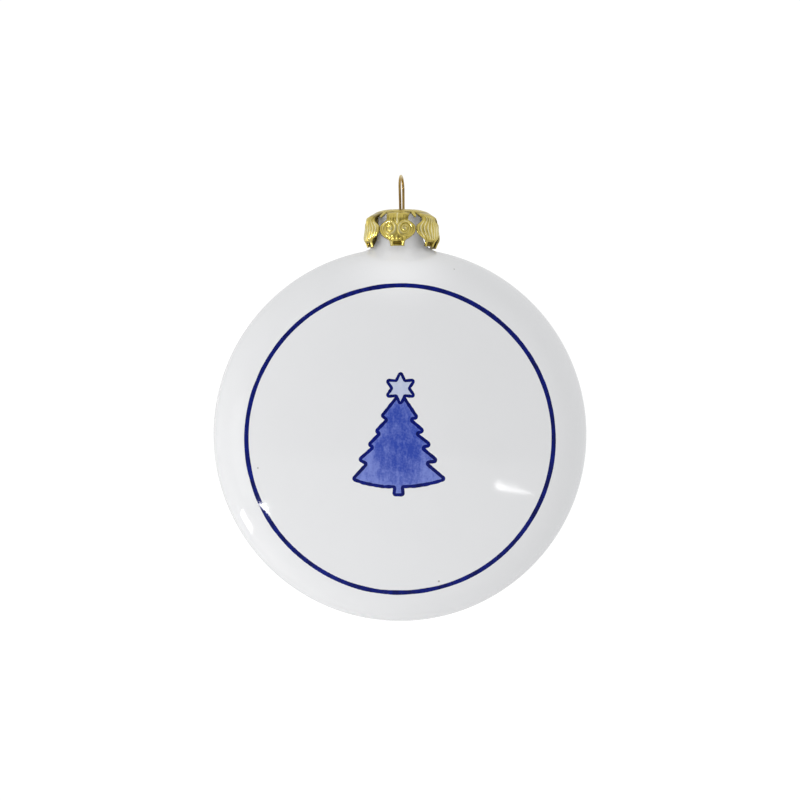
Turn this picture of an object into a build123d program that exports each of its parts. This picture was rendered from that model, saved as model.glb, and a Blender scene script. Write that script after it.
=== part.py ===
"""A flat, hollow ceramic tree ornament: a lens-shaped disc with a neck, a stamped six-petal
crown cap seated on the neck, and a sprung wire hanger through two holes in the cap.

Millimetres, +Z up. The origin is the point inside the top of the wire loop where a hook bears.
The decorated front looks along -Y, and the back carries the same decoration.
"""

import os
from math import asin, atan, atan2, cos, hypot, radians, sin, sqrt, tau

from build123d import *

# ---- ceramic body -------------------------------------------------------------------------
disc_radius = 40.0
disc_half_thickness = 16.0
rim_radius = 11.5  # roundness of the rim, seen in section
body_wall = 2.2
neck_height = 7.5  # above the crest of the disc
neck_top_radius = 4.6
neck_root_radius = 5.2  # the neck is cast with a slight draft
neck_root_fillet = 2.4
neck_lip_round = 0.3
bore_radius = 3.3

# ---- crown cap ----------------------------------------------------------------------------
petal_count = 6
cap_sheet = 0.3  # sheet thickness
cap_plate_radius = 5.2  # flat top, before the shoulder starts
cap_shoulder_radius = 7.7
cap_waist_radius = 7.75
cap_flare_radius = 8.35
cap_tab_radius = 7.6
cap_bend_radii = [1.5, 1.0, 3.0, 0.9]  # outside, from the plate down to the tabs
cap_yaw = 7.5  # degrees that the cap and hanger are turned on the neck

# heights below the top of the cap
shoulder_drop = 1.7
waist_drop = 4.0
flare_drop = 6.3
tab_drop = 7.9
cusp_drop = 1.7  # tip of the small tooth between two petals
lobe_drop = 0.8  # top of the window beside the tooth
window_drop = 1.25  # widest part of the window
window_foot_drop = 2.35
slit_top_drop = 3.5
slit_foot_drop = 4.5
scallop_drop = 5.85  # half-way along the petals' rounded lower corners
tab_root_drop = 6.8

# half-widths of the opening between two petals
lobe_half = 1.1
window_half = 1.65
window_foot_half = 1.4
slit_half = 0.28
scallop_half = 1.0
tab_gap_half = 2.55

# ---- wire hanger --------------------------------------------------------------------------
wire_diameter = 0.55
loop_height = 7.9  # from the top of the cap to the outside of the loop
loop_half_width = 3.0  # to the wire's centre
leg_length = 19.8  # below the top of the cap
pull_out = 5.0  # how far the straight part of the legs lets the hanger rise
pull_out_margin = 0.6
bend_height = 0.3  # above the cap, where the loop's sides start to lean out
leg_splay = 0.325  # each leg stands this much nearer the bore below its hole in the cap
splay_length = 1.6
tip_length = 3.0
tip_inset = 0.7
hanger_bend_radii = [4.0, 3.0, 3.0, 2.0]  # from the tip up to the loop's side
leg_clearance = 0.1  # wire to bore
hole_clearance = 0.15  # wire to hole

# ---- decoration ---------------------------------------------------------------------------
film_thickness = 0.1
ring_radius = 32.15
ring_drop = 0.8  # the ring sits a little low on the disc
ring_half_line = 0.4
tree_half_line = 0.3
star_centre = (0.1, 9.8)
star_radius = 2.85
star_half_line = 0.27

# The tree's drawn line, in millimetres from the centre of the disc.
tree_apex = (0.1, 8.7)
right_branches = [
    (3.4, 3.7), (2.2, 3.45), (4.7, 0.95), (3.5, 0.45), (6.1, -1.9),
    (4.7, -2.5), (7.5, -5.1), (5.5, -5.45), (9.0, -8.8),
]
left_branches = [
    (-3.6, 4.1), (-2.8, 3.3), (-4.8, 0.95), (-4.3, 0.4), (-6.3, -1.85),
    (-5.65, -2.4), (-8.2, -4.85), (-6.85, -5.75), (-9.4, -8.8),
]
right_hem_bow = (5.3, -9.9)
left_hem_bow = (-5.6, -10.1)
trunk_right, trunk_left = 0.55, -1.15
trunk_top, trunk_foot = -10.45, -11.95

# ---- heights and angles worked out from the sizes above ------------------------------------
wire_radius = wire_diameter / 2
cap_top_z = wire_diameter - loop_height
neck_top_z = cap_top_z - cap_sheet
crest_z = neck_top_z - neck_height
neck_foot_z = crest_z - rim_radius / 2  # buried in the disc
disc_z = crest_z - disc_radius
disc_axis = Axis((0, 0, disc_z), (0, 1, 0))
# The disc's section is drawn below its centre, so the seam stays clear of the neck.
section_plane = Plane(origin=(0, 0, disc_z), x_dir=(0, 0, -1), z_dir=(1, 0, 0))

# The face is one shallow dome whose arc runs tangent into the arc of the rim.
rim_centre = disc_radius - rim_radius
rim_angle = 2 * atan((disc_half_thickness - rim_radius) / rim_centre)
face_radius = rim_radius + rim_centre / sin(rim_angle)


def lens_outline(grow=0.0):
    """Draws the half section of the disc beside its axis, grown all round by grow."""
    half = disc_half_thickness + grow
    face = face_radius + grow
    rim = rim_radius + grow
    face_centre = disc_half_thickness - face_radius
    mid_face = (face * sin(rim_angle / 2), face_centre + face * cos(rim_angle / 2))
    joint = (rim_centre + rim * sin(rim_angle), rim * cos(rim_angle))
    with BuildLine() as outline:
        ThreePointArc((0, half), mid_face, joint)
        ThreePointArc(joint, (disc_radius + grow, 0), (joint[0], -joint[1]))
        ThreePointArc((joint[0], -joint[1]), (mid_face[0], -mid_face[1]), (0, -half))
        Line((0, -half), (0, half))
    make_face(outline.edges())


def is_neck_root(edge):
    """True for the edge where the neck meets the disc."""
    box = edge.bounding_box()
    return box.max.Z < crest_z + 0.5 and box.max.X < neck_root_radius + 1 and box.min.Z > disc_z


def write(piece, name):
    """Labels a finished piece and writes its STEP file."""
    piece.part.label = name
    export_step(piece.part, f"parts/{name}.step")


os.makedirs("parts", exist_ok=True)

# ---- ceramic body: one hollow casting ------------------------------------------------------
with BuildPart() as ceramic_body:
    with BuildSketch(section_plane):
        lens_outline()
    revolve(axis=disc_axis)
    with BuildSketch(Plane.YZ):
        with BuildLine():
            Polyline(
                (0, neck_foot_z), (neck_root_radius, neck_foot_z),
                (neck_top_radius, neck_top_z), (0, neck_top_z), close=True,
            )
        make_face()
    revolve(axis=Axis.Z)
    fillet(ceramic_body.edges().filter_by(is_neck_root), radius=neck_root_fillet)
    neck_lip = ceramic_body.faces().sort_by(Axis.Z)[-1].edges()
    fillet(neck_lip, radius=neck_lip_round)
    with BuildSketch(section_plane):
        lens_outline(-body_wall)
    revolve(axis=disc_axis, mode=Mode.SUBTRACT)
    with Locations((0, 0, neck_top_z)):
        Hole(radius=bore_radius, depth=neck_height + body_wall + rim_radius)
write(ceramic_body, "ceramic_body")


# ---- crown cap: one stamping ---------------------------------------------------------------
def radial_plane(angle, height):
    """Upright plane through the Z axis at this height, facing out along angle."""
    out = (cos(radians(angle)), sin(radians(angle)), 0)
    tangent = (-out[1], out[0], 0)
    return Plane(origin=(0, 0, height), x_dir=tangent, z_dir=out)


def petal_gap():
    """Draws the gap between two petals: a window under a small tooth, a slit, and a wide foot."""
    with BuildLine() as outline:
        for side in (1, -1):
            Spline(
                (0, -cusp_drop), (side * lobe_half, -lobe_drop),
                (side * window_half, -window_drop),
                (side * window_foot_half, -window_foot_drop),
                (side * slit_half, -slit_top_drop),
            )
            Line((side * slit_half, -slit_top_drop), (side * slit_half, -slit_foot_drop))
            Spline(
                (side * slit_half, -slit_foot_drop),
                (side * scallop_half, -scallop_drop),
                (side * tab_gap_half, -tab_root_drop),
            )
            Line((side * tab_gap_half, -tab_root_drop), (side * tab_gap_half, -tab_drop - 1))
        Line((tab_gap_half, -tab_drop - 1), (-tab_gap_half, -tab_drop - 1))
    make_face(outline.edges())


front_angle = -90 - cap_yaw
petal_pitch = 360 / petal_count
leg_line = Plane(
    origin=(0, 0, cap_top_z), x_dir=(cos(radians(front_angle)), sin(radians(front_angle)), 0)
)
leg_spread = bore_radius - wire_radius - leg_clearance
leg_half_spacing = leg_spread - leg_splay  # in the cap's holes

with BuildPart() as crown_cap:
    with BuildSketch(Plane.XZ):
        with BuildLine():
            FilletPolyline(
                (0, cap_top_z),
                (cap_plate_radius, cap_top_z),
                (cap_shoulder_radius, cap_top_z - shoulder_drop),
                (cap_waist_radius, cap_top_z - waist_drop),
                (cap_flare_radius, cap_top_z - flare_drop),
                (cap_tab_radius, cap_top_z - tab_drop),
                radius=cap_bend_radii,
            )
            offset(amount=cap_sheet, side=Side.RIGHT)
        make_face()
    revolve(axis=Axis.Z)
    for petal in range(petal_count):
        gap_angle = front_angle + (petal + 0.5) * petal_pitch
        with BuildSketch(radial_plane(gap_angle, cap_top_z)):
            petal_gap()
        extrude(amount=cap_flare_radius + 1, mode=Mode.SUBTRACT)
    with BuildSketch(leg_line):
        with Locations((leg_half_spacing, 0), (-leg_half_spacing, 0)):
            Circle(wire_radius + hole_clearance)
    extrude(amount=-cap_sheet * 2, mode=Mode.SUBTRACT)
write(crown_cap, "crown_cap")

# ---- wire hanger: one bent wire ------------------------------------------------------------
loop_plane = Plane(
    origin=(0, 0, 0),
    x_dir=leg_line.x_dir,
    z_dir=leg_line.x_dir.cross(Vector(0, 0, 1)),
)
loop_centre_z = wire_radius - loop_half_width
bend_z = cap_top_z + bend_height
splay_z = cap_top_z - cap_sheet - pull_out - pull_out_margin
tip_z = cap_top_z - leg_length

# The side of the loop runs from the bend above the plate along a tangent to the arch.
bend_to_centre = hypot(leg_half_spacing, loop_centre_z - bend_z)
side_length = sqrt(bend_to_centre**2 - loop_half_width**2)
side_angle = atan2(loop_centre_z - bend_z, -leg_half_spacing) - asin(
    loop_half_width / bend_to_centre
)
arch_end = (
    leg_half_spacing + side_length * cos(side_angle),
    bend_z + side_length * sin(side_angle),
)

with BuildPart() as wire_hanger:
    with BuildLine(loop_plane) as wire_path:
        for side in (1, -1):
            FilletPolyline(
                (side * (leg_spread - tip_inset), tip_z),
                (side * leg_spread, tip_z + tip_length),
                (side * leg_spread, splay_z - splay_length),
                (side * leg_half_spacing, splay_z),
                (side * leg_half_spacing, bend_z),
                (side * arch_end[0], arch_end[1]),
                radius=hanger_bend_radii,
            )
        ThreePointArc(arch_end, (0, wire_radius), (-arch_end[0], arch_end[1]))
    wire_line = wire_path.wire()
    with BuildSketch(Plane(origin=wire_line @ 0, z_dir=wire_line % 0)):
        Circle(wire_radius)
    sweep(path=wire_line)
write(wire_hanger, "wire_hanger")


# ---- decoration: thin fired-on films that follow the dome ----------------------------------
def ring_line():
    """Outline of the blue line round the face."""
    with Locations((0, -ring_drop)):
        Circle(ring_radius + ring_half_line)
        Circle(ring_radius - ring_half_line, mode=Mode.SUBTRACT)


def tree_shape(grow, mode=Mode.ADD):
    """The tree's silhouette, grown by grow from its drawn line."""
    with BuildSketch(mode=Mode.PRIVATE) as tree:
        with BuildLine() as outline:
            Polyline(tree_apex, *right_branches)
            ThreePointArc(right_branches[-1], right_hem_bow, (trunk_right, trunk_top))
            Polyline(
                (trunk_right, trunk_top), (trunk_right, trunk_foot),
                (trunk_left, trunk_foot), (trunk_left, trunk_top),
            )
            ThreePointArc((trunk_left, trunk_top), left_hem_bow, left_branches[-1])
            Polyline(tree_apex, *left_branches)
        make_face(outline.edges())
        offset(amount=grow, kind=Kind.ARC, mode=Mode.REPLACE)
    add(tree.sketch, mode=mode)


def star_shape(grow, mode=Mode.ADD):
    """The six-pointed star's silhouette, grown by grow from its drawn line."""
    points = [
        (
            star_centre[0] + radius * sin(tau * step / 12),
            star_centre[1] + radius * cos(tau * step / 12),
        )
        for step in range(12)
        for radius in [star_radius if step % 2 == 0 else star_radius / sqrt(3)]
    ]
    with BuildSketch(mode=Mode.PRIVATE) as star:
        with BuildLine() as outline:
            Polyline(*points, close=True)
        make_face(outline.edges())
        offset(amount=grow, kind=Kind.ARC, mode=Mode.REPLACE)
    add(star.sketch, mode=mode)


def tree_line():
    """The tree's drawn line, stopping at the star."""
    tree_shape(tree_half_line)
    tree_shape(-tree_half_line, Mode.SUBTRACT)
    star_shape(star_half_line, Mode.SUBTRACT)


def tree_wash():
    """The painted area inside the tree's line."""
    tree_shape(-tree_half_line)
    star_shape(star_half_line, Mode.SUBTRACT)


def star_line():
    """The star's drawn line."""
    star_shape(star_half_line)
    star_shape(-star_half_line, Mode.SUBTRACT)


def star_wash():
    """The pale area inside the star's line."""
    star_shape(-star_half_line)


drawings = {
    "ring_line": ring_line,
    "tree_line": tree_line,
    "tree_wash": tree_wash,
    "star_line": star_line,
    "star_wash": star_wash,
}
face_planes = {
    "front": Plane(origin=(0, 0, disc_z), x_dir=(1, 0, 0), z_dir=(0, -1, 0)),
    "back": Plane(origin=(0, 0, disc_z), x_dir=(-1, 0, 0), z_dir=(0, 1, 0)),
}

for face_name, face_plane in face_planes.items():
    for drawing_name, draw in drawings.items():
        with BuildPart() as film:
            with BuildSketch(section_plane):
                lens_outline(film_thickness)
            revolve(axis=disc_axis)
            with BuildSketch(section_plane):
                lens_outline()
            revolve(axis=disc_axis, mode=Mode.SUBTRACT)
            with BuildSketch(face_plane):
                draw()
            extrude(amount=disc_half_thickness + 1, mode=Mode.INTERSECT)
        write(film, f"{face_name}_{drawing_name}")
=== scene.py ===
import math

import bmesh
import bpy
import numpy as np
from bpy.props import FloatProperty, FloatVectorProperty, IntProperty, PointerProperty
from bpy.types import Operator, Panel, PropertyGroup
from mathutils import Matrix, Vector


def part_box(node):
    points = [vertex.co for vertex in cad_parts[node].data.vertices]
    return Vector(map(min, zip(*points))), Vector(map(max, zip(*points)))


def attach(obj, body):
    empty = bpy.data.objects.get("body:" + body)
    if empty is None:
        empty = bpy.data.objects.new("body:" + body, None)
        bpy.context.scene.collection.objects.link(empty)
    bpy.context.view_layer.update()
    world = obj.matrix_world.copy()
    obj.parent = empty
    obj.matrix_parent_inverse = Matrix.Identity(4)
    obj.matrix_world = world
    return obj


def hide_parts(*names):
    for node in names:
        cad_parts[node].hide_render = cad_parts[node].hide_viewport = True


bl_info = {
    "name": "Ceramic tree ornament",
    "version": (1, 0, 0),
    "blender": (4, 5, 0),
    "location": "3D View > Sidebar > Ornament",
    "description": "Builds a glazed ceramic disc ornament with its painting, cap and hanger",
    "category": "Add Mesh",
}

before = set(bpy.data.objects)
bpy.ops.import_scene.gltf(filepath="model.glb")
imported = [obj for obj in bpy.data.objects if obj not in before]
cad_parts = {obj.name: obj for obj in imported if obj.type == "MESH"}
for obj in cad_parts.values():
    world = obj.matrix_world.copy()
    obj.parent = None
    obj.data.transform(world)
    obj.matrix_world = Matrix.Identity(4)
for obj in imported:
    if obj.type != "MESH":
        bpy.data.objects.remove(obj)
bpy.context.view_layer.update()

MM = 0.001
SEED = 7


# ---- places taken from the frame ---------------------------------------------------------------
def tenths(length):
    """A length to the nearest tenth of a millimetre: the frame's curved faces are faceted."""
    return round(length, 4)


body_low, body_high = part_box("ceramic_body")
_, cap_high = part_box("crown_cap")
wire_low, wire_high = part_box("wire_hanger")

DISC_RADIUS = tenths((body_high.x - body_low.x) / 2)
HALF_THICKNESS = tenths((body_high.y - body_low.y) / 2)
DISC_Z = tenths(body_low.z) + DISC_RADIUS
NECK_TOP_Z = body_high.z
CAP_TOP_Z = cap_high.z
LOOP_TOP_Z = wire_high.z
TIP_Z = wire_low.z


# ---- settings ----------------------------------------------------------------------------------
def length(name, millimetres, description):
    """A length property, given in millimetres."""
    return FloatProperty(
        name=name, description=description, default=millimetres * MM, min=0,
        subtype="DISTANCE", unit="LENGTH", precision=5,
    )


def colour(name, red, green, blue, description):
    """A colour property, given as linear red, green and blue."""
    return FloatVectorProperty(
        name=name, description=description, default=(red, green, blue), min=0, max=1,
        size=3, subtype="COLOR",
    )


def amount(name, default, description):
    """A plain number property."""
    return FloatProperty(name=name, description=description, default=default, precision=4)


class BodySettings(PropertyGroup):
    rim_radius: length("Rim radius", 11.5, "Roundness of the rim, seen in section")
    wall: length("Wall", 2.2, "Thickness of the ceramic")
    neck_radius: length("Neck radius", 4.6, "Outside radius at the top of the neck")
    neck_draft: amount("Neck draft", 0.045, "How much the neck widens for each unit down")
    neck_blend: length("Neck blend", 3.4, "Width over which the neck flows into the disc")
    lip_round: length("Lip round", 0.35, "Rounding of the neck's lip")
    bore_radius: length("Bore radius", 3.3, "Inside radius of the neck")
    glaze: colour("Glaze", 0.8, 0.802, 0.81, "Colour of the white glaze")
    speck: colour("Speck", 0.22, 0.2, 0.18, "Colour of the few specks under the glaze")


class PaintSettings(PropertyGroup):
    ring_radius: length("Ring radius", 32.15, "Middle of the line round the face")
    ring_drop: length("Ring drop", 0.8, "How far the ring's centre is below the disc's")
    ring_width: length("Ring width", 1.0, "Width of the ring's line")
    tree_width: length("Tree line width", 0.74, "Width of the tree's outline")
    star_radius: length("Star radius", 3.1, "Centre of the star to the middle of its line")
    star_width: length("Star line width", 0.68, "Width of the star's outline")
    line_dark: colour("Line, dark", 0.0, 0.002, 0.07, "Cobalt line where it is thick")
    line_light: colour("Line, light", 0.001, 0.008, 0.19, "Cobalt line where it is thin")
    wash_dark: colour("Wash, dark", 0.034, 0.068, 0.4, "Cobalt wash where the brush was loaded")
    wash_light: colour("Wash, light", 0.2, 0.255, 0.64, "Cobalt wash where it is thin")
    star_dark: colour("Star, dark", 0.46, 0.53, 0.72, "Pale wash in the star")
    star_light: colour("Star, light", 0.6, 0.64, 0.76, "Pale wash in the star where it is thin")


class CapSettings(PropertyGroup):
    petals: IntProperty(name="Petals", description="Petals round the cap", default=6, min=3)
    yaw: FloatProperty(
        name="Turn", description="How far the cap and hanger are turned on the neck",
        default=math.radians(-7.5), subtype="ANGLE",
    )
    offset: length("Offset", 0.4, "How far the cap and hanger sit to one side of the neck")
    sheet: length("Sheet", 0.28, "Thickness of the stamped sheet")
    relief: length("Relief", 0.27, "Height of the stamped ornament")
    hole_radius: length("Hole radius", 0.42, "Radius of the two holes for the wire")
    gold: colour("Gold", 0.66, 0.53, 0.13, "Colour of the gold lacquer")
    # On the cap, the worn colour is wear and painted highlight on the raised stamping, and the
    # recess colour is painted shade in the hollows.
    wear_and_highlight: colour("Worn gold", 0.88, 0.8, 0.45, "Colour on the raised edges")
    hollow_shade_and_tarnish: colour("Recess", 0.16, 0.11, 0.015, "Colour in the hollows")
    # The inside colour is painted shade: the cap's inner side made dark.
    inside: colour("Inside", 0.2, 0.155, 0.05, "Colour of the cap's inner side")


class HangerSettings(PropertyGroup):
    wire: length("Wire", 0.55, "Diameter of the wire")
    loop_half_width: length("Loop half width", 3.0, "Half the loop's width, to the wire's middle")
    leg_half_spacing: length("Leg spacing", 2.6, "Half the legs' spacing where they pass the cap")
    leg_spread: length("Leg spread", 2.925, "Half the legs' spacing inside the neck")
    lean: length("Lean", 0.15, "How far the top of the loop leans sideways")
    brass: colour("Brass", 0.42, 0.27, 0.08, "Colour of the wire")
    # On the wire the worn colour comes in towards the top of the loop.
    wear_and_highlight: colour("Worn brass", 0.75, 0.6, 0.3, "Colour where the wire is rubbed")
    hollow_shade_and_tarnish: colour("Tarnish", 0.13, 0.07, 0.02, "Colour where the wire is tarnished")


class StageSettings(PropertyGroup):
    camera_distance: length("Camera distance", 420, "Camera to the middle of the ornament")
    camera_rise: length("Camera rise", 7.37, "Height of the camera above the disc's centre")
    lens: amount("Lens", 88.0, "Focal length of the camera, in millimetres")
    floor_drop: length("Floor drop", 330, "Height of the hanging ornament above the floor")
    floor: colour("Floor", 0.93, 0.93, 0.93, "Colour of the floor")
    floor_glow: amount("Floor glow", 0.3, "Light added to the floor for the camera alone")
    side_light: amount("Side light", 0.84, "Brightness of the room round the ornament")
    back_light: amount("Back light", 0.82, "Brightness of the room behind the ornament")
    face_light: amount("Face light", 0.38, "Mirrored brightness of the room behind the camera")


# ---- meshes ------------------------------------------------------------------------------------
def unit(vectors):
    """The same directions, each of length 1."""
    return vectors / np.linalg.norm(vectors, axis=-1, keepdims=True)


def run_along(path):
    """How far along a line each of its points lies."""
    return np.concatenate([[0], np.cumsum(np.linalg.norm(np.diff(path, axis=0), axis=1))])


def round_about(angle):
    """Cosine and sine side by side: points of the unit circle."""
    return np.stack([np.cos(angle), np.sin(angle)], axis=-1)


def grid_quads(rows, columns, wrap_rows=False, wrap_columns=False):
    """Corner numbers of the quads of a grid of points, numbered row by row."""
    row = np.arange(rows if wrap_rows else rows - 1)[:, None]
    column = np.arange(columns if wrap_columns else columns - 1)[None, :]
    below = (row + 1) % rows * columns
    beside = (column + 1) % columns
    row = row * columns
    corners = [row + column, row + beside, below + beside, below + column]
    return np.stack(corners, axis=-1).reshape(-1, 4)


def pole_fan(pole, ring, flip):
    """Triangles from one point to a closed ring of points."""
    after = np.roll(ring, -1)
    first, second = (after, ring) if flip else (ring, after)
    return np.stack([np.full(len(ring), pole), first, second], axis=-1)


def capped_grid(grid, first, last):
    """Points and faces of a grid that closes round its columns and ends in a point each way."""
    rows, columns = grid.shape[:2]
    ring = np.arange(columns)
    fans = [
        pole_fan(rows * columns, ring, flip=True),
        pole_fan(rows * columns + 1, ring + (rows - 1) * columns, flip=False),
    ]
    points = np.vstack([grid.reshape(-1, 3), first, last])
    return points, [grid_quads(rows, columns, wrap_columns=True), *fans]


def new_object(name, data):
    """An object in the scene that carries the data."""
    made = bpy.data.objects.new(name, data)
    bpy.context.scene.collection.objects.link(made)
    return made


def new_piece(name, points, faces, normals=None, relief=None):
    """A mesh object from points and arrays of faces, with normals and reliefs of its own."""
    mesh = bpy.data.meshes.new(name)
    points = np.ascontiguousarray(points, dtype=np.float32).reshape(-1, 3)
    corners = np.concatenate([f.ravel() for f in faces]).astype(np.int32)
    sides = np.concatenate([np.full(len(f), f.shape[1]) for f in faces])
    starts = (np.cumsum(sides) - sides).astype(np.int32)
    mesh.vertices.add(len(points))
    mesh.vertices.foreach_set("co", points.ravel())
    mesh.loops.add(len(corners))
    mesh.loops.foreach_set("vertex_index", corners)
    mesh.polygons.add(len(starts))
    mesh.polygons.foreach_set("loop_start", starts)
    mesh.polygons.foreach_set("use_smooth", np.ones(len(starts), dtype=bool))
    mesh.update(calc_edges=True)
    mesh.validate()
    if relief is not None:
        made = mesh.attributes.new("relief", "FLOAT", "POINT")
        made.data.foreach_set("value", relief.astype(np.float32))
    if normals is not None:
        mesh.normals_split_custom_set_from_vertices(normals.reshape(-1, 3).tolist())
    return new_object(name, mesh)


def settle(piece, material, body, node):
    """Gives a finished piece its material, body and CAD node."""
    piece.data.materials.append(material)
    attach(piece, body)
    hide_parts(node)


# ---- curves and smooth functions ---------------------------------------------------------------
def kept_tips(corners, radius):
    """Corners moved outwards by what rounding them with an arc would cut off.

    At a corner of half angle h the arc passes radius * (1 / sin(h) - 1) inside it.
    """
    to_last = unit(np.roll(corners, 1, axis=0) - corners)
    to_next = unit(np.roll(corners, -1, axis=0) - corners)
    sine = np.sqrt((1 - np.sum(to_last * to_next, axis=1)) / 2)
    return corners - unit(to_last + to_next) * (radius * (1 / sine - 1))[:, None]


def resampled(path, spacing, closed=False):
    """The same line with its points evenly spaced along it."""
    if closed:
        path = np.vstack([path, path[:1]])
    along = run_along(path)
    count = max(3, int(round(along[-1] / spacing)))
    wanted = np.linspace(0, along[-1], count + 1)[: count if closed else None]
    return np.stack([np.interp(wanted, along, values) for values in path.T], axis=1)


def rounded_path(corners, radii, spacing, closed=False):
    """Straight runs joined by arcs that touch both runs at each corner.

    An arc of radius r in a corner of half angle h starts r / tan(h) from the corner, and its
    centre is r / sin(h) from it. It is made smaller where the runs are too short for it.
    """
    corners = np.asarray(corners, dtype=float)
    count = len(corners)
    radii = np.broadcast_to(radii, count)
    parts = []
    for k, here in enumerate(corners):
        if not closed and k in (0, count - 1):
            parts.append(here[None])
            continue
        runs = corners[[k - 1, (k + 1) % count]] - here
        room = 0.49 * np.linalg.norm(runs, axis=1).min()
        to_last, to_next = unit(runs)
        half = np.arccos(np.clip(to_last @ to_next, -1, 1)) / 2
        radius = min(radii[k], room * math.tan(half))
        inward, forward = unit(np.array([to_last + to_next, to_next - to_last]))
        centre = here + inward * radius / math.sin(half)
        turn = np.linspace(-1, 1, 15)[:, None] * (math.pi / 2 - half)
        parts.append(centre + radius * (-np.cos(turn) * inward + np.sin(turn) * forward))
    return resampled(np.concatenate(parts), spacing, closed)


def flowing(x, knots, values):
    """A smooth curve through the values at the knots, level at its two ends.

    Each stretch is a cubic, with the slope at a knot taken from the knots beside it.
    """
    knots = np.asarray(knots, dtype=float)
    values = np.asarray(values, dtype=float)
    slopes = np.zeros(len(knots))
    slopes[1:-1] = (values[2:] - values[:-2]) / (knots[2:] - knots[:-2])
    x = np.clip(x, knots[0], knots[-1])
    k = np.clip(np.searchsorted(knots, x, side="right") - 1, 0, len(knots) - 2)
    span = knots[k + 1] - knots[k]
    t = (x - knots[k]) / span
    rise = t * t * (3 - 2 * t)
    bend = slopes[k] * t * (1 - t) ** 2 - slopes[k + 1] * t * t * (1 - t)
    return values[k] + (values[k + 1] - values[k]) * rise + span * bend


def step(x, low, high):
    """0 below low, 1 above high, and smooth between them."""
    t = np.clip((x - low) / (high - low), 0, 1)
    return t * t * (3 - 2 * t)


def hump(x, middle, width):
    """A bell curve of height 1."""
    return np.exp(-(((x - middle) / width) ** 2))


def waver(count, waves, rng):
    """A closed random wobble of size about 1: a few sine waves of random strength and phase."""
    angle = np.linspace(0, math.tau, count, endpoint=False)[:, None]
    order = np.arange(1, waves + 1)[None, :]
    strength = rng.normal(size=(1, waves)) / np.sqrt(waves)
    phase = rng.uniform(0, math.tau, size=(1, waves))
    return (strength * np.sin(order * angle + phase)).sum(axis=1)


# ---- shader helpers ----------------------------------------------------------------------------
def new_group(name, inputs):
    """A shader node group with one input per default, and its inputs by name."""
    group = bpy.data.node_groups.new(name, "ShaderNodeTree")
    for label, default in inputs.items():
        kind = "NodeSocketColor" if isinstance(default, tuple) else "NodeSocketFloat"
        socket = group.interface.new_socket(label, in_out="INPUT", socket_type=kind)
        socket.default_value = default
    return group, group.nodes.new("NodeGroupInput").outputs


def put_out(group, results):
    """Gives a group one output for each result, of the result's own kind, and returns it."""
    kinds = {"RGBA": "NodeSocketColor", "VECTOR": "NodeSocketVector", "VALUE": "NodeSocketFloat"}
    for label, result in results.items():
        group.interface.new_socket(label, in_out="OUTPUT", socket_type=kinds[result.type])
    end = group.nodes.new("NodeGroupOutput")
    for label, result in results.items():
        group.links.new(result, end.inputs[label])
    return group


def add_node(tree, kind, links=(), **settings):
    """A node with its properties set, and its inputs linked to sockets or set to values."""
    node = tree.nodes.new(kind)
    for key, value in settings.items():
        setattr(node, key, value)
    for key, value in dict(links).items():
        if isinstance(value, bpy.types.NodeSocket):
            tree.links.new(value, node.inputs[key])
        else:
            node.inputs[key].default_value = value
    return node


def object_place(tree):
    """The place of the shaded point on its own piece."""
    return add_node(tree, "ShaderNodeTexCoord").outputs["Object"]


def noise(tree, place, scale, detail=3.0, roughness=0.5, stretch=None):
    """Noise on the given coordinates, stretched by a Mapping node if asked."""
    if stretch:
        place = add_node(tree, "ShaderNodeMapping", {"Vector": place, "Scale": stretch}).outputs[0]
    links = {"Vector": place, "Scale": scale, "Detail": detail, "Roughness": roughness}
    return add_node(tree, "ShaderNodeTexNoise", links).outputs["Fac"]


def remap(tree, value, low, high, new_low=0.0, new_high=1.0):
    """The value taken smoothly from one range to another."""
    links = dict(enumerate([value, low, high, new_low, new_high]))
    return add_node(tree, "ShaderNodeMapRange", links, interpolation_type="SMOOTHSTEP").outputs[0]


def maths(tree, operation, first, second):
    """One sum on two numbers."""
    return add_node(tree, "ShaderNodeMath", {0: first, 1: second}, operation=operation).outputs[0]


def blended(tree, factor, first, second):
    """The first colour turning into the second. The node's colours are at 6, 7 and 2."""
    links = {0: factor, 6: first, 7: second}
    return add_node(tree, "ShaderNodeMix", links, data_type="RGBA").outputs[2]


def bump(tree, strength, depth, height, below=None):
    """A normal tilted by the slope of a height, on top of another normal if given."""
    links = {"Strength": strength, "Distance": depth, "Height": height}
    if below:
        links["Normal"] = below
    return add_node(tree, "ShaderNodeBump", links).outputs[0]


def new_material(name, **values):
    """A material with one Principled shader, whose constant values are set on its own sockets."""
    material = bpy.data.materials.new(name)
    material.use_nodes = True
    tree = material.node_tree
    shader = tree.nodes["Principled BSDF"]
    for key, value in values.items():
        shader.inputs[key.replace("_", " ")].default_value = value
    return material, tree, shader


def cover(tree, shader, group, **values):
    """Places a group with its values, and joins its outputs to the shader's inputs so named."""
    links = {key.replace("_", " "): value for key, value in values.items()}
    node = add_node(tree, "ShaderNodeGroup", links, node_tree=group)
    for output in node.outputs:
        tree.links.new(output, shader.inputs[output.name])
    return node


def rgba(setting):
    """A colour property as the four numbers that a socket takes."""
    return (*setting, 1.0)


# ---- shared effects ----------------------------------------------------------------------------
def glaze_surface():
    """Gloss and slow ripples of a fired glaze: its roughness and its normal."""
    name = "Glaze surface"
    if name in bpy.data.node_groups:
        return bpy.data.node_groups[name]
    group, given = new_group(name, {"Gloss": 0.06, "Ripple": 0.3, "Peel": 0.012})
    place = object_place(group)
    patch = noise(group, place, 240.0, detail=2.0)
    rough = maths(group, "ADD", given["Gloss"], remap(group, patch, 0.35, 0.75, 0.0, 0.025))
    slow = bump(group, given["Ripple"], 0.6 * MM, noise(group, place, 75.0, detail=1.0))
    fine = noise(group, place, 1300.0, detail=2.0)
    normal = bump(group, given["Peel"], 0.05 * MM, fine, slow)
    return put_out(group, {"Roughness": rough, "Normal": normal})


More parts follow.
